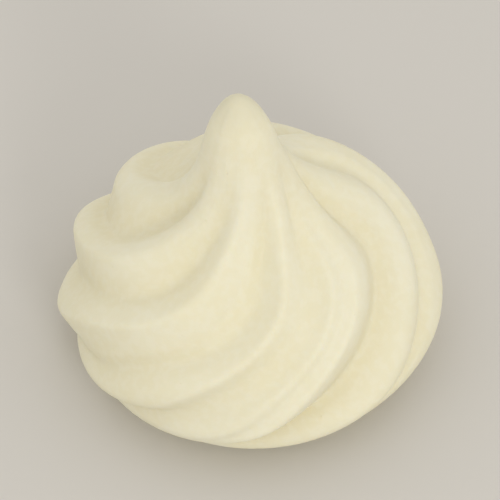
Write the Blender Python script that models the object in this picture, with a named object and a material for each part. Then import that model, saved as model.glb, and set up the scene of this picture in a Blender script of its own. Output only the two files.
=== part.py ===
"""A piped meringue cookie: one baked body, ridged by a star nozzle and drawn up to a soft peak.

Metres, +Z up. The body rests on its flat base at Z = 0, and the origin is the middle of its
outline on that plane.

The body follows one rule. A mean profile is turned about the axis and grooves are pressed into
it. Each groove keeps its own angle in a frame that turns with the swirl, so a groove that starts
straight at the peak winds clockwise, seen from above, as it runs down and out to the foot.
"""

from collections import namedtuple

import bmesh
import bpy
import numpy as np

MM = 0.001

# A station is one level of the mean profile. turn is how far the swirl has turned there, in
# degrees from the tip. depth is how deep a full groove is, spread widens the grooves, and rows
# is the number of mesh rows from this station up to the next one.
Station = namedtuple("Station", "radius height turn depth spread rows")
STATIONS = {
    "foot": Station(20.8 * MM, 0.0 * MM, 194, 0.30 * MM, 0.80, 9),
    "heel": Station(25.2 * MM, 4.0 * MM, 126, 1.90 * MM, 0.85, 8),
    "belly": Station(27.5 * MM, 7.8 * MM, 98, 3.20 * MM, 0.95, 6),
    "shoulder": Station(26.9 * MM, 14.3 * MM, 76, 3.10 * MM, 1.06, 9),
    "dome": Station(18.7 * MM, 24.6 * MM, 33, 2.00 * MM, 1.00, 5),
    "flare": Station(11.8 * MM, 28.9 * MM, 19, 1.60 * MM, 0.76, 6),
    "neck": Station(6.2 * MM, 38.2 * MM, 0, 0.20 * MM, 0.85, 5),
    "nib": Station(3.2 * MM, 47.0 * MM, 0, 0.05 * MM, 0.85, 5),
    "tip": Station(0.0 * MM, 50.0 * MM, 0, 0.00 * MM, 0.85, 0),
}

# A groove is what one tooth of the nozzle leaves. angle is where it starts round the peak, in
# degrees from +X. width is its half width in degrees, depth its share of the station's depth,
# and skew, from -1 to 1, makes the wall on its clockwise side the wider one.
Groove = namedtuple("Groove", "angle width depth skew")
GROOVES = (
    Groove(21, 14, 1.22, -0.10),
    Groove(65, 12.5, 0.70, 0.00),
    Groove(109, 11, 1.20, 0.00),
    Groove(172, 24, 1.27, 0.55),
    Groove(216, 15, 1.18, 0.27),
    Groove(257, 14.5, 0.86, 0.15),
    Groove(301, 14.5, 0.74, 0.22),
    Groove(334, 14, 0.67, -0.32),
)

# The tip stands this far to one side of the belly and in front of it, as the peak leans.
PEAK_LEAN_X = -1.75 * MM
PEAK_LEAN_Y = -0.3 * MM

COLUMNS = 92
SHARP_EDGE_ANGLE = np.radians(50.0)

IVORY = (0.82, 0.77, 0.57, 1.0)
BAKED_ROUGHNESS = 0.85


class Spline:
    """The smoothest cubic through values at places: free at the first, its last slope given."""

    def __init__(self, places, values, last_slope=0.0):
        self.places = np.asarray(places, float)
        self.values = np.asarray(values, float)
        self.gaps = np.diff(self.places)
        self.slopes = self._solve_slopes(last_slope)

    def _solve_slopes(self, last_slope):
        rises = np.diff(self.values) / self.gaps
        count = len(self.places)
        matrix = np.zeros((count, count))
        right = np.zeros(count)
        matrix[0, :2] = 2.0, 1.0
        right[0] = 3.0 * rises[0]
        for i in range(1, count - 1):
            before, after = 1.0 / self.gaps[i - 1], 1.0 / self.gaps[i]
            matrix[i, i - 1 : i + 2] = before, 2.0 * (before + after), after
            right[i] = 3.0 * (rises[i - 1] * before + rises[i] * after)
        matrix[-1, -1] = 1.0
        right[-1] = last_slope
        return np.linalg.solve(matrix, right)

    def _piece(self, at):
        index = np.clip(np.searchsorted(self.places, at, side="right") - 1, 0, len(self.gaps) - 1)
        return index, self.gaps[index], (at - self.places[index]) / self.gaps[index]

    def value(self, at):
        index, gap, share = self._piece(at)
        rest = 1.0 - share
        start = self.values[index] * (1.0 + 2.0 * share) + self.slopes[index] * gap * share
        end = self.values[index + 1] * (1.0 + 2.0 * rest) - self.slopes[index + 1] * gap * rest
        return start * rest**2 + end * share**2

    def slope(self, at):
        index, gap, share = self._piece(at)
        rest = 1.0 - share
        rise = (self.values[index + 1] - self.values[index]) / gap
        start = self.slopes[index] * rest * (1.0 - 3.0 * share)
        end = self.slopes[index + 1] * share * (3.0 * share - 2.0)
        return 6.0 * rise * share * rest + start + end


def station_values(field):
    """One field of every station, from foot to tip."""
    return np.array([getattr(station, field) for station in STATIONS.values()])


def row_places(places):
    """Where the mesh rows lie along the profile, from foot to tip."""
    rows = [
        np.linspace(start, end, station.rows, endpoint=False)
        for start, end, station in zip(places, places[1:], STATIONS.values())
    ]
    return np.concatenate(rows + [places[-1:]])


def profile_rows():
    """Each row's radius, height, outward normal, turn, groove depth and groove spread."""
    radii = station_values("radius")
    heights = station_values("height")
    places = np.concatenate([[0.0], np.cumsum(np.hypot(np.diff(radii), np.diff(heights)))])
    radius = Spline(places, radii, last_slope=-1.0)
    height = Spline(places, heights)
    at = row_places(places)
    along_r, along_z = radius.slope(at), height.slope(at)
    length = np.hypot(along_r, along_z)
    # The normal turns level towards the foot, so that the grooves leave the base flat.
    level = np.clip(height.value(at) / STATIONS["belly"].height, 0.0, 1.0)
    return {
        "radius": radius.value(at),
        "height": height.value(at),
        "normal_r": along_z / length,
        "normal_z": -along_r / length * level,
        "turn": Spline(places, station_values("turn")).value(at),
        "depth": np.maximum(Spline(places, station_values("depth")).value(at), 0.0),
        "spread": Spline(places, station_values("spread")).value(at),
    }


def groove_share(swirl_angle, spread):
    """How deep the grooves are at an angle of the swirl's own frame, as a share of full depth."""
    share = 0.0
    for groove in GROOVES:
        away = (swirl_angle - groove.angle + 180.0) % 360.0 - 180.0
        width = groove.width * spread * (1.0 - groove.skew * np.sign(away))
        share = share + groove.depth * np.exp(-((away / width) ** 2))
    return share


def body_points():
    """The body's points, as rows from foot to tip by columns round the swirl."""
    rows = {name: values[:, None] for name, values in profile_rows().items()}
    swirl_angle = np.linspace(0.0, 360.0, COLUMNS, endpoint=False)[None, :]
    pressed = rows["depth"] * groove_share(swirl_angle, rows["spread"])
    radius = rows["radius"] - rows["normal_r"] * pressed
    z = rows["height"] - rows["normal_z"] * pressed
    angle = np.radians(swirl_angle - rows["turn"])
    belly, tip = STATIONS["belly"].height, STATIONS["tip"].height
    lean = np.clip((z - belly) / (tip - belly), 0.0, 1.0)
    x = radius * np.cos(angle) + PEAK_LEAN_X * lean
    y = radius * np.sin(angle) + PEAK_LEAN_Y * lean
    return np.stack([x, y, z], axis=-1)


def centred(points):
    """The points with the middle of their outline, seen from above, on the Z axis."""
    corners = points.reshape(-1, 3)
    middle = (corners.min(axis=0) + corners.max(axis=0)) / 2.0
    middle[2] = 0.0
    return points - middle


def swirl_mesh(points):
    """A closed mesh: quads along the ridges, a fan to the tip and one flat face for the base."""
    shape = bmesh.new()
    rings = [[shape.verts.new(point) for point in row] for row in points[:-1]]
    tip = shape.verts.new(points[-1, 0])
    for lower, upper in zip(rings, rings[1:]):
        for i in range(COLUMNS):
            j = (i + 1) % COLUMNS
            # Each quad is split along its shorter diagonal, which crosses the swirl.
            shape.faces.new((lower[j], upper[j], upper[i]))
            shape.faces.new((lower[i], lower[j], upper[i]))
    for i in range(COLUMNS):
        shape.faces.new((rings[-1][i], rings[-1][(i + 1) % COLUMNS], tip))
    shape.faces.new(rings[0][::-1])
    bmesh.ops.recalc_face_normals(shape, faces=shape.faces)
    mesh = bpy.data.meshes.new("meringue")
    shape.to_mesh(mesh)
    shape.free()
    mesh.shade_smooth()
    mesh.set_sharp_from_angle(angle=SHARP_EDGE_ANGLE)
    return mesh


def baked_meringue():
    """Dry, matt, ivory sugar foam."""
    material = bpy.data.materials.new("baked_meringue")
    material.use_nodes = True
    shader = material.node_tree.nodes["Principled BSDF"]
    shader.inputs["Base Color"].default_value = IVORY
    shader.inputs["Roughness"].default_value = BAKED_ROUGHNESS
    shader.inputs["Metallic"].default_value = 0.0
    material.diffuse_color = IVORY
    material.roughness = BAKED_ROUGHNESS
    return material


def add_meringue():
    """The whole cookie, which is one piece."""
    meringue = bpy.data.objects.new("meringue", swirl_mesh(centred(body_points())))
    meringue.data.materials.append(baked_meringue())
    bpy.context.scene.collection.objects.link(meringue)
    return meringue


def clear_scene():
    for thing in list(bpy.data.objects):
        bpy.data.objects.remove(thing, do_unlink=True)


clear_scene()
add_meringue()
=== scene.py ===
"""The looks of a piped meringue cookie: its ridges, creases, crust and colour, and a plain stage.

Metres, +Z up. The cookie rests on Z = 0 with the middle of its outline at the origin.

The body follows the same rule as the solid it stands for. A mean profile is turned about the
axis, and the grooves of a star nozzle are pressed into it at fixed angles of a frame that turns
with the swirl. Geometry Nodes sweep the profile round, press the grooves, and add what a solid
leaves out: crisp crests, creases, the flutes that the nozzle drags, and an uneven hand.
"""

from collections import namedtuple
from math import cos, radians, sin

import bpy
import numpy as np
from bpy.props import FloatProperty, FloatVectorProperty, IntProperty, PointerProperty
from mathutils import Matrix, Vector


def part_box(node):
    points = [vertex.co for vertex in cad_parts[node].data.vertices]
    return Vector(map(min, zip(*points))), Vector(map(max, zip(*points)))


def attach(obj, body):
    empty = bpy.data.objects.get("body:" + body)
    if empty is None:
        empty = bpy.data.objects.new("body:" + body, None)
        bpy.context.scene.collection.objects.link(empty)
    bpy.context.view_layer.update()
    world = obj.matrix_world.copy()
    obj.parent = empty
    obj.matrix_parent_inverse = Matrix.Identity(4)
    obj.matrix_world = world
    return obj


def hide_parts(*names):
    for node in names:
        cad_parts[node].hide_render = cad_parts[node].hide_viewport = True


bl_info = {
    "name": "Piped Meringue Cookie",
    "version": (1, 0, 0),
    "blender": (4, 5, 0),
    "location": "3D View > Sidebar > Meringue",
    "description": "Makes a meringue cookie piped from a star nozzle, and a plain stage for it",
    "category": "Add Mesh",
}

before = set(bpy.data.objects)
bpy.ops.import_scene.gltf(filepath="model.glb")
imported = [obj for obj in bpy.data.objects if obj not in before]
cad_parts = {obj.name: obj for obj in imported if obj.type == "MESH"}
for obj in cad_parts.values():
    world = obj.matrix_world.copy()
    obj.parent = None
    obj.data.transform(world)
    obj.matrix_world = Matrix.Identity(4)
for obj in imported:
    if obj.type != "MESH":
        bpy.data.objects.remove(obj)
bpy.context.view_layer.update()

MM = 0.001

# The numbers of the stations and the grooves were fitted to a photo by least squares, and then
# rounded. They weren't chosen by hand. The fine lines lean on the same fits in part.

# A station is one level of the mean profile. turn is how far the swirl has turned there, in
# degrees from the tip. depth is how deep a full groove is, and spread widens the grooves.
Station = namedtuple("Station", "radius height turn depth spread")
STATIONS = {
    "foot": Station(20.8 * MM, 0.0 * MM, 194, 0.30 * MM, 0.80),
    "heel": Station(25.2 * MM, 4.0 * MM, 126, 1.90 * MM, 0.85),
    "belly": Station(27.5 * MM, 7.8 * MM, 98, 3.20 * MM, 0.95),
    "shoulder": Station(26.9 * MM, 14.3 * MM, 76, 3.10 * MM, 1.06),
    "dome": Station(18.7 * MM, 24.6 * MM, 33, 2.00 * MM, 1.00),
    "flare": Station(11.8 * MM, 28.9 * MM, 19, 1.60 * MM, 0.76),
    "neck": Station(6.2 * MM, 38.2 * MM, 0, 0.20 * MM, 0.85),
    "nib": Station(3.2 * MM, 47.0 * MM, 0, 0.05 * MM, 0.85),
    "tip": Station(0.0 * MM, 50.0 * MM, 0, 0.00 * MM, 0.85),
}
HEIGHT = STATIONS["tip"].height

# A groove is what one tooth of the nozzle leaves. angle is where it starts round the peak, in
# degrees from +X. width is its half width in degrees, depth its share of the station's depth,
# and skew, from -1 to 1, makes the wall on its clockwise side the wider one.
Groove = namedtuple("Groove", "angle width depth skew")
GROOVES = (
    Groove(21, 14, 1.22, -0.10),
    Groove(65, 12.5, 0.70, 0.00),
    Groove(109, 11, 1.20, 0.00),
    Groove(172, 24, 1.27, 0.55),
    Groove(216, 15, 1.18, 0.27),
    Groove(257, 14.5, 0.86, 0.15),
    Groove(301, 14.5, 0.74, 0.22),
    Groove(334, 14, 0.67, -0.32),
)

# A fine line is a crest that a nozzle point pulls up, or a crease where two ridges meet.
# angle is at the peak and drift is how far it has moved at the foot, both in degrees. width is
# its half width in degrees and rise its height, which is below zero for a crease. low and high
# are shares of the cookie's height: it fades in below low, and has faded out at high.
FineLine = namedtuple("FineLine", "angle drift width rise low high")
FINE_LINES = (
    FineLine(302, 32, 4.2, 0.62 * MM, 0.26, 0.86),
    FineLine(332, 25, 4.0, 0.62 * MM, 0.24, 0.74),
    FineLine(347, 21, 4.2, 0.48 * MM, 0.22, 0.66),
    FineLine(29, 0, 5.0, 0.40 * MM, 0.05, 0.70),
    FineLine(76, -4, 4.0, 0.30 * MM, 0.05, 0.72),
    FineLine(132, 0, 4.0, 0.30 * MM, 0.05, 0.75),
    FineLine(196, 0, 4.0, 0.15 * MM, 0.05, 0.70),
    FineLine(239, -5, 5.0, 0.36 * MM, 0.05, 0.75),
    FineLine(271, 9, 4.5, 0.46 * MM, 0.05, 0.85),
    FineLine(290, 8, 4.0, 0.28 * MM, 0.15, 0.85),
    FineLine(301, 8, 7.5, -0.54 * MM, 0.40, 0.82),
    FineLine(328, 3, 6.0, -0.25 * MM, 0.30, 0.80),
    FineLine(340, 23, 3.8, -0.34 * MM, 0.24, 0.62),
    FineLine(21, 0, 4.6, -0.26 * MM, 0.10, 0.66),
    FineLine(65, 0, 4.6, -0.34 * MM, 0.10, 0.66),
    FineLine(109, 0, 4.6, -0.22 * MM, 0.10, 0.66),
    FineLine(172, 0, 4.6, -0.20 * MM, 0.10, 0.66),
    FineLine(216, 0, 4.6, -0.24 * MM, 0.10, 0.66),
    FineLine(257, 0, 5.0, -0.34 * MM, 0.10, 0.70),
)

# The tip stands this far to one side of the belly and in front of it, as the peak leans.
PEAK_LEAN_X = -1.75 * MM
PEAK_LEAN_Y = -0.3 * MM

# The foot's edge is rounded where the foam met the baking sheet.
FOOT_ROUNDING = 0.7 * MM

# A band is a smooth step: as a value goes from low to high, the result goes from start to end.
Band = namedtuple("Band", "low high start end", defaults=(0.0, 1.0))

# Bands over the share of the cookie's height. Fine lines widen up the neck, where a degree is a
# shorter way round. The uneven hand and the painted shade in the grooves fade out below the
# tip, and the tip itself gets painted shade.
LINES_WIDEN = Band(0.48, 0.80, 1.0, 2.3)
RELIEF_FADES = Band(0.70, 0.92, 1.0, 0.0)
TIP_SHADE_SHOWS = Band(0.90, 1.02)

# A ripple is noise that runs along the ridges. along is how often it changes in a metre down
# the swirl, across how often it changes round it, and shift sets its seed apart.
Ripple = namedtuple("Ripple", "along across detail shift")
FLUTES = Ripple(28.0, 13.0, 2.0, 0.0)
LUMPS = Ripple(120.0, 2.2, 1.0, 7.0)

# The underside's hollows: how fast they start inside the foot's edge, how many there are across
# a metre, and how much of the noise they take.
UNDERSIDE_EDGE_SHARPNESS = 8.0
BLOTCHES_ACROSS = 160.0
BLOTCHES_SINK = Band(0.40, 0.75)

MERGE_DISTANCE = 0.001 * MM

# The crust's noises, counted across a metre. The fine grain and the sparse pores are all over
# it, and the coarse grain and the dense pores are on the underside.
FINE_GRAIN = {"Grains Across": 3200.0, "Clumps Across": 800.0}
COARSE_GRAIN = {"Grains Across": 1500.0, "Clumps Across": 420.0}
SPARSE_PORES = {"Cells Across": 620.0, "Pore Size": 0.10, "Share Kept": 0.22}
DENSE_PORES = {"Cells Across": 380.0, "Pore Size": 0.42, "Share Kept": 0.75}
CLOUDS_ACROSS = 75.0
NOISE_DETAIL = 2.0
CLUMP_SHARE = 0.4

# How much of each colour shows, over the clouds, the grooves' depth, where shade is painted,
# and the grain's clumps.
CREAM_SHOWS = Band(0.30, 0.72)
GROOVE_SHADE_SHOWS = Band(0.25, 1.05, 0.0, 0.75)
DUST_SHOWS = Band(0.40, 0.66, 0.0, 0.18)
BASE_SHARE = 0.8
# The pits are darkened a little towards the base colour, as painted shade.
PIT_SHADE_SHARE = 0.15

# The surface: its roughness over the grain's clumps, the share of grain and pits in its relief,
# the height of that relief, and how far light goes into the foam, for red, green and blue.
CRUST_ROUGHNESS = Band(0.3, 0.7, 0.62, 0.78)
CRUST_SPECULAR = 0.3
GRAIN_RELIEF = 0.35
PIT_RELIEF = 0.7
RELIEF_STRENGTH = 0.55
RELIEF_HEIGHT = 0.12 * MM
LIGHT_REACH = 1.2 * MM
LIGHT_REACH_COLOUR = (1.0, 0.85, 0.6)

FLOOR_HALF_WIDTH = 1.5
FLOOR_ROUGHNESS = 0.9

# Where the main light stands, seen from above and from the side, and the sky's warm white.
KEY_AZIMUTH = radians(20.0)
KEY_ELEVATION = radians(27.0)
KEY_DISTANCE = 0.6
KEY_SIZE = 0.16
SKY_COLOUR = (1.0, 0.985, 0.96, 1.0)


class Spline:
    """The smoothest cubic through values at places: free at the first, its last slope given."""

    def __init__(self, places, values, last_slope=0.0):
        self.places = np.asarray(places, float)
        self.values = np.asarray(values, float)
        self.gaps = np.diff(self.places)
        self.slopes = self._solve_slopes(last_slope)

    def _solve_slopes(self, last_slope):
        rises = np.diff(self.values) / self.gaps
        count = len(self.places)
        matrix = np.zeros((count, count))
        right = np.zeros(count)
        matrix[0, :2] = 2.0, 1.0
        right[0] = 3.0 * rises[0]
        for i in range(1, count - 1):
            before, after = 1.0 / self.gaps[i - 1], 1.0 / self.gaps[i]
            matrix[i, i - 1 : i + 2] = before, 2.0 * (before + after), after
            right[i] = 3.0 * (rises[i - 1] * before + rises[i] * after)
        matrix[-1, -1] = 1.0
        right[-1] = last_slope
        return np.linalg.solve(matrix, right)

    def _piece(self, at):
        index = np.clip(np.searchsorted(self.places, at, side="right") - 1, 0, len(self.gaps) - 1)
        return index, self.gaps[index], (at - self.places[index]) / self.gaps[index]

    def value(self, at):
        index, gap, share = self._piece(at)
        rest = 1.0 - share
        start = self.values[index] * (1.0 + 2.0 * share) + self.slopes[index] * gap * share
        end = self.values[index + 1] * (1.0 + 2.0 * rest) - self.slopes[index + 1] * gap * rest
        return start * rest**2 + end * share**2

    def slope(self, at):
        index, gap, share = self._piece(at)
        rest = 1.0 - share
        rise = (self.values[index + 1] - self.values[index]) / gap
        start = self.slopes[index] * rest * (1.0 - 3.0 * share)
        end = self.slopes[index + 1] * share * (3.0 * share - 2.0)
        return 6.0 * rise * share * rest + start + end


def station_values(field):
    """One field of every station, from foot to tip."""
    return np.array([getattr(station, field) for station in STATIONS.values()])


def side_profile(row_count):
    """The profile's fields from foot to tip, at evenly spaced rows."""
    radii = station_values("radius")
    heights = station_values("height")
    places = np.concatenate([[0.0], np.cumsum(np.hypot(np.diff(radii), np.diff(heights)))])
    radius = Spline(places, radii, last_slope=-1.0)
    height = Spline(places, heights)
    at = np.linspace(0.0, places[-1], row_count)
    along_r, along_z = radius.slope(at), height.slope(at)
    length = np.hypot(along_r, along_z)
    level = np.clip(height.value(at) / STATIONS["belly"].height, 0.0, 1.0)
    rise = np.clip(height.value(at) / FOOT_ROUNDING, 0.0, 1.0)
    rounding = FOOT_ROUNDING * (1.0 - np.sqrt(1.0 - (1.0 - rise) ** 2))
    return {
        "radius": radius.value(at) - rounding,
        "height": height.value(at),
        "normal_r": along_z / length,
        "normal_z": -along_r / length * level,
        "turn": Spline(places, station_values("turn")).value(at),
        "groove_depth": np.maximum(Spline(places, station_values("depth")).value(at), 0.0),
        "groove_spread": Spline(places, station_values("spread")).value(at),
        "place": at,
        "underside": np.zeros(row_count),
    }


def underside_profile(row_count, foot):
    """The same fields from the middle of the underside out to the foot, which is left out."""
    share = np.linspace(0.0, 1.0, row_count, endpoint=False)
    return {
        "radius": foot["radius"] * share,
        "height": 0.0 * share,
        "normal_r": share,
        "normal_z": 0.0 * share,
        "turn": foot["turn"] + 0.0 * share,
        "groove_depth": foot["groove_depth"] + 0.0 * share,
        "groove_spread": foot["groove_spread"] + 0.0 * share,
        "place": foot["radius"] * (share - 1.0),
        "underside": np.clip((1.0 - share) * UNDERSIDE_EDGE_SHARPNESS, 0.0, 1.0),
    }


def profile_mesh(side_rows, underside_rows):
    """A line of points that carries the whole profile as attributes, one point a row."""
    side = side_profile(side_rows)
    foot = {name: values[0] for name, values in side.items()}
    underside = underside_profile(underside_rows, foot)
    fields = {name: np.concatenate([underside[name], side[name]]) for name in side}
    count = underside_rows + side_rows
    points = np.stack([fields["radius"], 0.0 * fields["radius"], fields["height"]], axis=-1)
    mesh = bpy.data.meshes.new("meringue_profile")
    mesh.from_pydata(points.tolist(), [(i, i + 1) for i in range(count - 1)], [])
    for name, values in fields.items():
        mesh.attributes.new(name, "FLOAT", "POINT").data.foreach_set("value", values)
    return mesh


class NodeBench:
    """Adds nodes to one tree and joins them up, in rows that are read from left to right."""

    ROW_LENGTH = 14
    STEP = Vector((190.0, -260.0))

    def __init__(self, tree):
        self.tree = tree

    def add(self, kind, feeds=None, **settings):
        """A new node with its settings, and with values or other nodes' outputs on its inputs."""
        node = self.tree.nodes.new(kind)
        row, column = divmod(len(self.tree.nodes) - 1, self.ROW_LENGTH)
        node.location = column * self.STEP.x, row * self.STEP.y
        for name, value in settings.items():
            setattr(node, name, value)
        for key, value in (feeds or {}).items():
            self.feed(node.inputs[key], value)
        return node

    def feed(self, socket, value):
        """Joins an output to an input, or sets the input's own value."""
        if isinstance(value, bpy.types.NodeSocket):
            self.tree.links.new(value, socket)
        else:
            socket.default_value = value

    def math(self, operation, *values, **settings):
        """The output of a Math node."""
        feeds = dict(enumerate(values))
        return self.add("ShaderNodeMath", feeds, operation=operation, **settings).outputs[0]

    def vector(self, x, y, z):
        """The output of a Combine XYZ node."""
        return self.add("ShaderNodeCombineXYZ", {0: x, 1: y, 2: z}).outputs[0]

    def remap(self, value, low, high, start=0.0, end=1.0):
        """A smooth step from start to end as a value goes from low to high, like a Band."""
        feeds = {0: value, 1: low, 2: high, 3: start, 4: end}
        return self.add("ShaderNodeMapRange", feeds, interpolation_type="SMOOTHSTEP").outputs[0]

    def noise(self, where, across, detail=NOISE_DETAIL, **feeds):
        """The output of a Noise Texture node, with across lumps in a metre."""
        feeds = {"Vector": where, "Scale": across, "Detail": detail, **feeds}
        dimensions = "4D" if "W" in feeds else "3D"
        return self.add("ShaderNodeTexNoise", feeds, noise_dimensions=dimensions).outputs[0]

    def colour_mix(self, share, first, second):
        """The output of a Mix node that goes from the first colour to the second."""
        # Its sockets share their names, so their places tell them apart.
        feeds = {0: share, 6: first, 7: second}
        return self.add("ShaderNodeMix", feeds, data_type="RGBA").outputs[2]

    def value_mix(self, share, first, second):
        """The output of a Mix node that goes from the first value to the second."""
        feeds = {0: share, 2: first, 3: second}
        return self.add("ShaderNodeMix", feeds, data_type="FLOAT").outputs[0]


def named_sockets(tree, in_out, *sockets):
    """Sockets on a tree's interface. Each is a name, a kind and a default, which may be None."""
    for name, kind, default in sockets:
        socket = tree.interface.new_socket(name, in_out=in_out, socket_type="NodeSocket" + kind)
        if default is not None:
            socket.default_value = default


def new_group(name, kind, inputs, outputs):
    """An empty node group with named sockets, its bench, its input node and its output node."""
    tree = bpy.data.node_groups.new(name, kind)
    named_sockets(tree, "INPUT", *inputs)
    named_sockets(tree, "OUTPUT", *outputs)
    bench = NodeBench(tree)
    return tree, bench, bench.add("NodeGroupInput"), bench.add("NodeGroupOutput")


def bell(bench, away, width):
    """A bell curve: 1 at the middle and nearly 0 two widths away."""
    share = bench.math("DIVIDE", away, width)
    square = bench.math("MULTIPLY", share, share)
    return bench.math("EXPONENT", bench.math("MULTIPLY", square, -1.0))


def pressed_groove_group():
    """Geometry node group: how deep one groove is at an angle of the swirl."""
    tree, bench, given, result = new_group(
        "pressed_groove",
        "GeometryNodeTree",
        [
            ("Swirl Angle", "Float", 0.0),
            ("Spread", "Float", 1.0),
            ("Angle", "Float", 0.0),
            ("Width", "Float", 15.0),
            ("Depth", "Float", 1.0),
            ("Skew", "Float", 0.0),
        ],
        [("Share", "Float", None)],
    )
    away = bench.math("SUBTRACT", given.outputs["Swirl Angle"], given.outputs["Angle"])
    away = bench.math("WRAP", away, 180.0, -180.0)
    lopsided = bench.math("MULTIPLY", given.outputs["Skew"], bench.math("SIGN", away))
    width = bench.math("MULTIPLY", given.outputs["Width"], given.outputs["Spread"])
    width = bench.math("MULTIPLY", width, bench.math("SUBTRACT", 1.0, lopsided))
    share = bench.math("MULTIPLY", bell(bench, away, width), given.outputs["Depth"])
    bench.feed(result.inputs["Share"], share)
    return tree


def fine_line_group():
    """Geometry node group: how high one crest stands, or how low one crease lies."""
    tree, bench, given, result = new_group(
        "fine_line",
        "GeometryNodeTree",
        [
            ("Swirl Angle", "Float", 0.0),
            ("Height Share", "Float", 0.0),
            ("Angle", "Float", 0.0),
            ("Drift", "Float", 0.0),
            ("Width", "Float", 2.0),
            ("Rise", "Float", 0.3 * MM),
            ("Low", "Float", 0.05),
            ("High", "Float", 0.8),
            ("Low Fade", "Float", 0.14),
            ("High Fade", "Float", 0.28),
        ],
        [("Rise", "Float", None)],
    )
    height = given.outputs["Height Share"]
    drift = bench.math("MULTIPLY", given.outputs["Drift"], bench.math("SUBTRACT", 1.0, height))
    middle = bench.math("ADD", given.outputs["Angle"], drift)
    away = bench.math("SUBTRACT", given.outputs["Swirl Angle"], middle)
    away = bench.math("WRAP", away, 180.0, -180.0)
    low, high = given.outputs["Low"], given.outputs["High"]
    starts_from = bench.math("SUBTRACT", low, given.outputs["Low Fade"])
    starts = bench.remap(height, starts_from, low)
    stops_from = bench.math("SUBTRACT", high, given.outputs["High Fade"])
    stops = bench.remap(height, stops_from, high, 1.0, 0.0)
    wider = bench.remap(height, *LINES_WIDEN)
    width = bench.math("MULTIPLY", given.outputs["Width"], wider)
    rise = bench.math("MULTIPLY", bell(bench, away, width), given.outputs["Rise"])
    rise = bench.math("MULTIPLY", rise, bench.math("MULTIPLY", starts, stops))
    bench.feed(result.inputs["Rise"], rise)
    return tree


def ripple_height(bench, angle, place, ripple, seed):
    """A ripple's height over the swirl, from -0.5 to 0.5: long down it and narrow round it."""
    turned = bench.math("RADIANS", angle)
    round_x = bench.math("MULTIPLY", bench.math("COSINE", turned), ripple.across)
    round_y = bench.math("MULTIPLY", bench.math("SINE", turned), ripple.across)
    where = bench.vector(round_x, round_y, bench.math("MULTIPLY", place, ripple.along))
    own_seed = bench.math("ADD", seed, ripple.shift)
    noise = bench.noise(where, 1.0, ripple.detail, W=own_seed)
    return bench.math("SUBTRACT", noise, 0.5)


def summed_groups(bench, group, marks, shared):
    """The sum of one group's output over marks, each fed by its own fields and by the shared."""
    total = 0.0
    for mark in marks:
        own = {name.capitalize(): float(value) for name, value in mark._asdict().items()}
        node = bench.add("GeometryNodeGroup", {**shared, **own}, node_tree=group)
        total = bench.math("ADD", total, node.outputs[0])
    return total


def uneven_hand(bench, given, swirl_angle, place, fades):
    """How far the dragged flutes and the lumps of an uneven hand stand out of the rule."""
    seed = given.outputs["Seed"]
    flutes = ripple_height(bench, swirl_angle, place, FLUTES, seed)
    flutes = bench.math("MULTIPLY", flutes, given.outputs["Flute Depth"])
    lumps = ripple_height(bench, swirl_angle, place, LUMPS, seed)
    lumps = bench.math("MULTIPLY", lumps, given.outputs["Unevenness"])
    return bench.math("MULTIPLY", bench.math("ADD", flutes, lumps), fades)


def leaning_place(bench, radius, angle, z):
    """X and Y of a point at a radius and an angle from an axis that leans above the belly."""
    belly = STATIONS["belly"].height
    above = bench.math("SUBTRACT", z, belly)
    lean = bench.math("DIVIDE", above, HEIGHT - belly, use_clamp=True)
    x = bench.math("MULTIPLY", radius, bench.math("COSINE", angle))
    x = bench.math("ADD", x, bench.math("MULTIPLY", lean, PEAK_LEAN_X))
    y = bench.math("MULTIPLY", radius, bench.math("SINE", angle))
    y = bench.math("ADD", y, bench.math("MULTIPLY", lean, PEAK_LEAN_Y))
    return x, y


def hollowed_height(bench, given, x, y, z, underside):
    """Z with the underside hollowed a little, where the foam shrank off the baking sheet."""
    blotches = bench.noise(bench.vector(x, y, 0.0), BLOTCHES_ACROSS, W=given.outputs["Seed"])
    hollow = bench.remap(blotches, *BLOTCHES_SINK)
    hollow = bench.math("MULTIPLY", hollow, given.outputs["Underside Hollow"])
    return bench.math("ADD", z, bench.math("MULTIPLY", hollow, underside))


def finished_geometry(bench, geometry, attributes, material):
    """The shaped sheet with its attributes stored, its seams closed and its material set."""
    for name, value in attributes.items():
        feeds = {"Geometry": geometry, "Name": name, "Value": value}
        store = bench.add("GeometryNodeStoreNamedAttribute", feeds, data_type="FLOAT")
        geometry = store.outputs[0]
    for kind, feeds in (
        ("GeometryNodeMergeByDistance", {"Distance": MERGE_DISTANCE}),
        ("GeometryNodeSetShadeSmooth", {}),
        ("GeometryNodeRealizeInstances", {}),
        ("GeometryNodeSetMaterial", {"Material": material}),
    ):
        geometry = bench.add(kind, {"Geometry": geometry, **feeds}).outputs[0]
    return geometry


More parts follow.
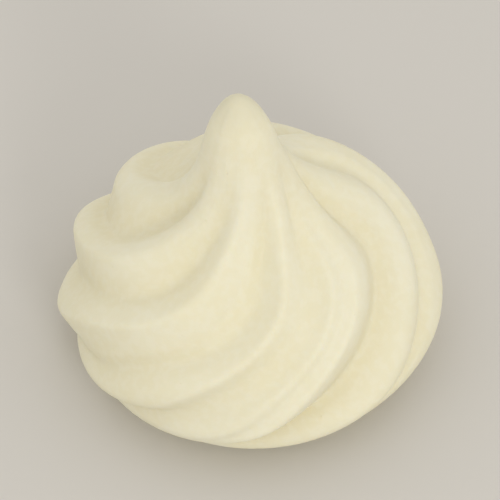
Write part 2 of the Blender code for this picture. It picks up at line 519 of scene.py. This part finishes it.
def swirl_tree(row_count, material):
    """The Geometry Nodes tree that turns the profile's points into the whole cookie."""
    tree, bench, given, result = new_group(
        "piped_swirl",
        "GeometryNodeTree",
        [
            ("Profile", "Geometry", None),
            ("Columns", "Int", 336),
            ("Groove Strength", "Float", 1.0),
            ("Crest Strength", "Float", 1.0),
            ("Flute Depth", "Float", 0.1 * MM),
            ("Unevenness", "Float", 0.3 * MM),
            ("Underside Hollow", "Float", 0.5 * MM),
            ("Seed", "Float", 0.0),
        ],
        [("Geometry", "Geometry", None)],
    )
    # The sheet's last column lies on its first one, and the two are merged at the end.
    columns = given.outputs["Columns"]
    feeds = {"Vertices X": bench.math("ADD", columns, 1.0), "Vertices Y": row_count}
    sheet = bench.add("GeometryNodeMeshGrid", feeds).outputs["Mesh"]
    index = bench.add("GeometryNodeInputIndex").outputs[0]
    row = bench.math("FLOORED_MODULO", index, float(row_count))
    # The half keeps the division clear of the whole numbers that FLOOR cuts at.
    columns_in = bench.math("DIVIDE", bench.math("ADD", index, 0.5), float(row_count))
    column = bench.math("FLOOR", columns_in)
    swirl_angle = bench.math("DIVIDE", bench.math("MULTIPLY", column, 360.0), columns)

    def profile(name):
        field = bench.add("GeometryNodeInputNamedAttribute", {"Name": name}, data_type="FLOAT")
        feeds = {
            "Geometry": given.outputs["Profile"],
            "Value": field.outputs["Attribute"],
            "Index": row,
        }
        return bench.add("GeometryNodeSampleIndex", feeds, data_type="FLOAT").outputs[0]

    height, place, underside = profile("height"), profile("place"), profile("underside")
    height_share = bench.math("DIVIDE", height, HEIGHT)

    shared = {"Swirl Angle": swirl_angle, "Spread": profile("groove_spread")}
    grooves = summed_groups(bench, pressed_groove_group(), GROOVES, shared)
    shared = {"Swirl Angle": swirl_angle, "Height Share": height_share}
    lines = summed_groups(bench, fine_line_group(), FINE_LINES, shared)
    lines = bench.math("MULTIPLY", lines, given.outputs["Crest Strength"])
    fades = bench.remap(height_share, *RELIEF_FADES)
    stands = bench.math("ADD", lines, uneven_hand(bench, given, swirl_angle, place, fades))

    # The relief is pressed in along the profile's normal, and then the swirl is turned.
    deep = bench.math("MULTIPLY", profile("groove_depth"), given.outputs["Groove Strength"])
    pressed = bench.math("SUBTRACT", bench.math("MULTIPLY", grooves, deep), stands)
    out_r = bench.math("MULTIPLY", pressed, profile("normal_r"))
    out_z = bench.math("MULTIPLY", pressed, profile("normal_z"))
    radius = bench.math("SUBTRACT", profile("radius"), out_r)
    z = bench.math("SUBTRACT", height, out_z)
    angle = bench.math("RADIANS", bench.math("SUBTRACT", swirl_angle, profile("turn")))
    x, y = leaning_place(bench, radius, angle, z)
    z = hollowed_height(bench, given, x, y, z, underside)
    feeds = {"Geometry": sheet, "Position": bench.vector(x, y, z)}
    shaped = bench.add("GeometryNodeSetPosition", feeds).outputs[0]

    # The recess mask places the painted shade in the grooves, and the last mask the painted shade
    # at the tip.
    attributes = {
        "recess": bench.math("MULTIPLY", grooves, fades),
        "underside": underside,
        "tip_shade_mask": bench.remap(height_share, *TIP_SHADE_SHOWS),
    }
    finished = finished_geometry(bench, shaped, attributes, material)
    bench.feed(result.inputs["Geometry"], finished)
    return tree


def powder_grain_group():
    """Shader node group: the fine sandy grain of dried sugar foam."""
    tree, bench, given, result = new_group(
        "powder_grain",
        "ShaderNodeTree",
        [("Grains Across", "Float", 3000.0), ("Clumps Across", "Float", 700.0)],
        [("Height", "Float", None), ("Tint", "Float", None)],
    )
    where = bench.add("ShaderNodeTexCoord").outputs["Object"]
    grains = bench.noise(where, given.outputs["Grains Across"], detail=3.0, Roughness=0.6)
    clumps = bench.noise(where, given.outputs["Clumps Across"])
    grain_part = bench.math("MULTIPLY", grains, 1.0 - CLUMP_SHARE)
    clump_part = bench.math("MULTIPLY", clumps, CLUMP_SHARE)
    bench.feed(result.inputs["Height"], bench.math("ADD", grain_part, clump_part))
    bench.feed(result.inputs["Tint"], clumps)
    return tree


def air_pores_group():
    """Shader node group: burst air bubbles, as round pits scattered over the crust."""
    tree, bench, given, result = new_group(
        "air_pores",
        "ShaderNodeTree",
        [
            ("Cells Across", "Float", 420.0),
            ("Pore Size", "Float", 0.2),
            ("Share Kept", "Float", 0.3),
        ],
        [("Pit", "Float", None)],
    )
    where = bench.add("ShaderNodeTexCoord").outputs["Object"]
    feeds = {"Vector": where, "Scale": given.outputs["Cells Across"]}
    cells = bench.add("ShaderNodeTexVoronoi", feeds)
    draw = bench.add("ShaderNodeSeparateColor", {0: cells.outputs["Color"]})
    kept = bench.math("LESS_THAN", draw.outputs[0], given.outputs["Share Kept"])
    # A pore is from half the size to the whole of it, and flat over its middle half.
    size_share = bench.remap(draw.outputs[1], 0.0, 1.0, 0.5, 1.0)
    size = bench.math("MULTIPLY", given.outputs["Pore Size"], size_share)
    flat = bench.math("MULTIPLY", size, 0.5)
    pit = bench.remap(cells.outputs["Distance"], flat, size, 1.0, 0.0)
    bench.feed(result.inputs["Pit"], bench.math("MULTIPLY", pit, kept))
    return tree


def crust_material(finish):
    """Baked meringue: matt ivory crust, shade painted in grooves, pores and tip, coarser beneath.
    """
    material = bpy.data.materials.new("baked_meringue_crust")
    material.use_nodes = True
    bench = NodeBench(material.node_tree)
    shader = material.node_tree.nodes["Principled BSDF"]
    recess = bench.add("ShaderNodeAttribute", attribute_name="recess").outputs["Fac"]
    underside = bench.add("ShaderNodeAttribute", attribute_name="underside").outputs["Fac"]
    tip_shade_mask = bench.add("ShaderNodeAttribute", attribute_name="tip_shade_mask").outputs["Fac"]
    where = bench.add("ShaderNodeTexCoord").outputs["Object"]

    grain_group = powder_grain_group()
    fine = bench.add("ShaderNodeGroup", FINE_GRAIN, node_tree=grain_group)
    coarse = bench.add("ShaderNodeGroup", COARSE_GRAIN, node_tree=grain_group)
    pore_group = air_pores_group()
    sparse = bench.add("ShaderNodeGroup", SPARSE_PORES, node_tree=pore_group)
    dense = bench.add("ShaderNodeGroup", DENSE_PORES, node_tree=pore_group)
    dense_pits = bench.math("MULTIPLY", dense.outputs["Pit"], underside)
    pits = bench.math("MAXIMUM", sparse.outputs["Pit"], dense_pits)

    cream = bench.remap(bench.noise(where, CLOUDS_ACROSS), *CREAM_SHOWS)
    colour = (*finish.ivory, 1.0)
    # The grooves, the pits and the tip get painted shade. The clouds, the underside and the dust
    # are the crust's own colours.
    for share, shade in (
        (cream, finish.cream),
        (bench.remap(recess, *GROOVE_SHADE_SHOWS), finish.recess_cream),
        (bench.math("MULTIPLY", underside, BASE_SHARE), finish.baked_base),
        (bench.remap(fine.outputs["Tint"], *DUST_SHOWS), finish.sugar_dust),
        (tip_shade_mask, finish.toasted_tip),
        (bench.math("MULTIPLY", pits, PIT_SHADE_SHARE), finish.baked_base),
    ):
        colour = bench.colour_mix(share, colour, (*shade, 1.0))
    bench.feed(shader.inputs["Base Color"], colour)
    bench.feed(shader.inputs["Roughness"], bench.remap(fine.outputs["Tint"], *CRUST_ROUGHNESS))

    grain = bench.value_mix(underside, fine.outputs["Height"], coarse.outputs["Height"])
    grain_relief = bench.math("MULTIPLY", grain, GRAIN_RELIEF)
    pit_relief = bench.math("MULTIPLY", pits, PIT_RELIEF)
    relief = bench.math("SUBTRACT", grain_relief, pit_relief)
    feeds = {"Strength": RELIEF_STRENGTH, "Distance": RELIEF_HEIGHT, "Height": relief}
    bench.feed(shader.inputs["Normal"], bench.add("ShaderNodeBump", feeds).outputs[0])

    shader.inputs["Specular IOR Level"].default_value = CRUST_SPECULAR
    shader.inputs["Subsurface Weight"].default_value = finish.softness
    shader.inputs["Subsurface Radius"].default_value = LIGHT_REACH_COLOUR
    shader.inputs["Subsurface Scale"].default_value = LIGHT_REACH
    material.diffuse_color = (*finish.ivory, 1.0)
    return material


def fit_to_box(mesh, low, high):
    """Moves and scales a mesh, by a share of a per cent, so that it fills a box exactly."""
    points = np.empty(len(mesh.vertices) * 3)
    mesh.vertices.foreach_get("co", points)
    points = points.reshape(-1, 3)
    now_low, now_high = points.min(axis=0), points.max(axis=0)
    scale = (np.array(high) - np.array(low)) / (now_high - now_low)
    points = np.array(low) + (points - now_low) * scale
    mesh.vertices.foreach_set("co", points.ravel())
    mesh.update()


def pipe_meringue(sizes, finish):
    """The finished cookie as a plain mesh object that fills the solid's box."""
    profile = profile_mesh(sizes.side_rows, sizes.underside_rows)
    row_count = sizes.side_rows + sizes.underside_rows
    cookie = bpy.data.objects.new("piped_meringue", profile)
    bpy.context.scene.collection.objects.link(cookie)
    tree = swirl_tree(row_count, crust_material(finish))
    modifier = cookie.modifiers.new("piped_swirl", "NODES")
    modifier.node_group = tree
    values = {
        "Columns": sizes.columns,
        "Groove Strength": sizes.groove_strength,
        "Crest Strength": sizes.crest_strength,
        "Flute Depth": sizes.flute_depth,
        "Unevenness": sizes.unevenness,
        "Underside Hollow": sizes.underside_hollow,
        "Seed": float(sizes.seed),
    }
    for socket in tree.interface.items_tree:
        if socket.name in values:
            modifier[socket.identifier] = values[socket.name]
    evaluated = cookie.evaluated_get(bpy.context.evaluated_depsgraph_get())
    mesh = bpy.data.meshes.new_from_object(evaluated)
    mesh.name = "piped_meringue"
    cookie.modifiers.remove(modifier)
    cookie.data = mesh
    bpy.data.meshes.remove(profile)
    fit_to_box(mesh, *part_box("meringue"))
    return cookie


class MeringueSizes(bpy.types.PropertyGroup):
    """The sizes of the crust's relief and the fineness of its mesh."""

    columns: IntProperty(
        name="Columns",
        description="Mesh columns round the swirl",
        default=336,
        min=36,
    )
    side_rows: IntProperty(
        name="Side Rows",
        description="Mesh rows from foot to tip",
        default=240,
        min=24,
    )
    underside_rows: IntProperty(
        name="Underside Rows",
        description="Mesh rows across half the underside",
        default=42,
        min=4,
    )
    groove_strength: FloatProperty(
        name="Groove Strength",
        description="Depth of the nozzle's grooves, as a share of the solid's",
        default=1.0,
        min=0.0,
    )
    crest_strength: FloatProperty(
        name="Crest Strength",
        description="Height of the crests and depth of the creases, as a share of their own",
        default=1.0,
        min=0.0,
    )
    flute_depth: FloatProperty(
        name="Flute Depth",
        description="Depth of the fine flutes along the ridges",
        default=0.09 * MM,
        unit="LENGTH",
        precision=5,
    )
    unevenness: FloatProperty(
        name="Unevenness",
        description="How far the hand wanders from the rule",
        default=0.5 * MM,
        unit="LENGTH",
        precision=5,
    )
    underside_hollow: FloatProperty(
        name="Underside Hollow",
        description="Depth of the hollows of the underside",
        default=0.5 * MM,
        unit="LENGTH",
        precision=5,
    )
    seed: IntProperty(
        name="Seed",
        description="Picks other flutes, lumps and hollows",
        default=3,
    )


class MeringueFinish(bpy.types.PropertyGroup):
    """The colours of the crust, and of the shade painted on it."""

    ivory: FloatVectorProperty(
        name="Ivory",
        description="Colour of the crust",
        subtype="COLOR",
        default=(0.83, 0.79, 0.60),
    )
    cream: FloatVectorProperty(
        name="Cream",
        description="Warmer clouds in the crust",
        subtype="COLOR",
        default=(0.81, 0.76, 0.55),
    )
    # Painted shade: this colour darkens the crust down in the grooves.
    recess_cream: FloatVectorProperty(
        name="Painted Groove Shade",
        description="Colour down in the grooves",
        subtype="COLOR",
        default=(0.78, 0.72, 0.50),
    )
    sugar_dust: FloatVectorProperty(
        name="Sugar Dust",
        description="Colour of the fine dry powder",
        subtype="COLOR",
        default=(0.88, 0.86, 0.74),
    )
    # The underside's own baked colour, and the painted shade in the pores.
    baked_base: FloatVectorProperty(
        name="Baked Base And Pit Shade",
        description="Colour of the underside and of deep pores",
        subtype="COLOR",
        default=(0.74, 0.64, 0.40),
    )
    # Painted shade: this colour darkens the tip.
    toasted_tip: FloatVectorProperty(
        name="Painted Tip Shade",
        description="Colour of the tip, which bakes first",
        subtype="COLOR",
        default=(0.72, 0.68, 0.50),
    )
    softness: FloatProperty(
        name="Softness",
        description="How much light the foam lets in",
        subtype="FACTOR",
        default=0.2,
        min=0.0,
        max=1.0,
    )


class MeringueStage(bpy.types.PropertyGroup):
    """The camera, the lights and the floor."""

    elevation: FloatProperty(
        name="Elevation",
        description="How far above the horizon the camera stands",
        subtype="ANGLE",
        default=radians(49.6),
    )
    distance: FloatProperty(
        name="Distance",
        description="From the camera to the cookie",
        unit="LENGTH",
        default=0.9,
    )
    view_width: FloatProperty(
        name="View Width",
        description="Width that the picture takes in at the cookie",
        unit="LENGTH",
        default=70.0 * MM,
    )
    view_drop: FloatProperty(
        name="View Drop",
        description="How far the picture's middle lies below the cookie's",
        unit="LENGTH",
        default=4.5 * MM,
    )
    key_power: FloatProperty(
        name="Key Power",
        description="Power of the main soft light",
        unit="POWER",
        default=0.72,
    )
    sky_strength: FloatProperty(
        name="Sky Strength",
        description="Strength of the light from all round",
        default=0.87,
    )
    floor_colour: FloatVectorProperty(
        name="Floor Colour",
        description="Colour of the floor",
        subtype="COLOR",
        default=(0.63, 0.605, 0.56),
    )


class MERINGUE_OT_pipe_cookie(bpy.types.Operator):
    """Pipes and bakes the meringue cookie"""

    bl_idname = "meringue.pipe_cookie"
    bl_label = "Pipe Cookie"
    bl_options = {"REGISTER", "UNDO"}

    def execute(self, context):
        cookie = pipe_meringue(context.scene.meringue_sizes, context.scene.meringue_finish)
        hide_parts("meringue")
        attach(cookie, "root")
        return {"FINISHED"}


def look_at(thing, place, target):
    """Puts a camera or a light at a place, pointed at a target."""
    thing.location = place
    thing.rotation_euler = (target - place).to_track_quat("-Z", "Y").to_euler()


def add_floor(colour):
    """A wide, plain, pale floor."""
    half = FLOOR_HALF_WIDTH
    mesh = bpy.data.meshes.new("floor")
    corners = [(-half, -half, 0.0), (half, -half, 0.0), (half, half, 0.0), (-half, half, 0.0)]
    mesh.from_pydata(corners, [], [(0, 1, 2, 3)])
    material = bpy.data.materials.new("pale_floor")
    material.use_nodes = True
    shader = material.node_tree.nodes["Principled BSDF"]
    shader.inputs["Base Color"].default_value = (*colour, 1.0)
    shader.inputs["Roughness"].default_value = FLOOR_ROUGHNESS
    mesh.materials.append(material)
    floor = bpy.data.objects.new("floor", mesh)
    bpy.context.scene.collection.objects.link(floor)


def add_key_light(power, target):
    """The main light: a soft square one, to the right of the camera and lower than it."""
    light = bpy.data.lights.new("key_light", "AREA")
    light.energy = power
    light.size = KEY_SIZE
    holder = bpy.data.objects.new("key_light", light)
    bpy.context.scene.collection.objects.link(holder)
    level = cos(KEY_ELEVATION)
    side = Vector((sin(KEY_AZIMUTH) * level, -cos(KEY_AZIMUTH) * level, sin(KEY_ELEVATION)))
    look_at(holder, target + side * KEY_DISTANCE, target)


def add_sky(strength):
    """Even light from all round."""
    world = bpy.data.worlds.new("studio")
    world.use_nodes = True
    sky = world.node_tree.nodes["Background"]
    sky.inputs["Color"].default_value = SKY_COLOUR
    sky.inputs["Strength"].default_value = strength
    bpy.context.scene.world = world


def add_camera(stage, middle):
    """A camera in front of the cookie that looks down at it."""
    camera = bpy.data.cameras.new("camera")
    camera.lens = camera.sensor_width * stage.distance / stage.view_width
    holder = bpy.data.objects.new("camera", camera)
    bpy.context.scene.collection.objects.link(holder)
    back = Vector((0.0, -cos(stage.elevation), sin(stage.elevation)))
    up = Vector((0.0, sin(stage.elevation), cos(stage.elevation)))
    target = middle - up * stage.view_drop
    look_at(holder, target + back * stage.distance, target)
    bpy.context.scene.camera = holder


class MERINGUE_OT_set_stage(bpy.types.Operator):
    """Sets the floor, the lights and the camera"""

    bl_idname = "meringue.set_stage"
    bl_label = "Set Stage"
    bl_options = {"REGISTER", "UNDO"}

    def execute(self, context):
        stage = context.scene.meringue_stage
        low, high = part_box("meringue")
        middle = (low + high) / 2.0
        add_floor(stage.floor_colour)
        add_key_light(stage.key_power, middle)
        add_sky(stage.sky_strength)
        context.scene.view_settings.view_transform = "Standard"
        add_camera(stage, middle)
        return {"FINISHED"}


class MERINGUE_PT_sidebar(bpy.types.Panel):
    """Lists what this add-on makes"""

    bl_label = "Meringue Cookie"
    bl_space_type = "VIEW_3D"
    bl_region_type = "UI"
    bl_category = "Meringue"

    def draw(self, context):
        for title, group, operator in (
            ("Sizes", context.scene.meringue_sizes, None),
            ("Finish", context.scene.meringue_finish, MERINGUE_OT_pipe_cookie),
            ("Stage", context.scene.meringue_stage, MERINGUE_OT_set_stage),
        ):
            box = self.layout.box()
            box.label(text=title)
            for name in group.__annotations__:
                box.prop(group, name)
            if operator:
                box.operator(operator.bl_idname)


PROPERTY_GROUPS = {
    "meringue_sizes": MeringueSizes,
    "meringue_finish": MeringueFinish,
    "meringue_stage": MeringueStage,
}
CLASSES = (
    *PROPERTY_GROUPS.values(),
    MERINGUE_OT_pipe_cookie,
    MERINGUE_OT_set_stage,
    MERINGUE_PT_sidebar,
)


def register():
    for cls in CLASSES:
        bpy.utils.register_class(cls)
    for name, group in PROPERTY_GROUPS.items():
        setattr(bpy.types.Scene, name, PointerProperty(type=group))


def unregister():
    for name in PROPERTY_GROUPS:
        delattr(bpy.types.Scene, name)
    for cls in reversed(CLASSES):
        bpy.utils.unregister_class(cls)


def main():
    register()
    bpy.ops.meringue.pipe_cookie()
    bpy.ops.meringue.set_stage()


if __name__ == "__main__":
    main()
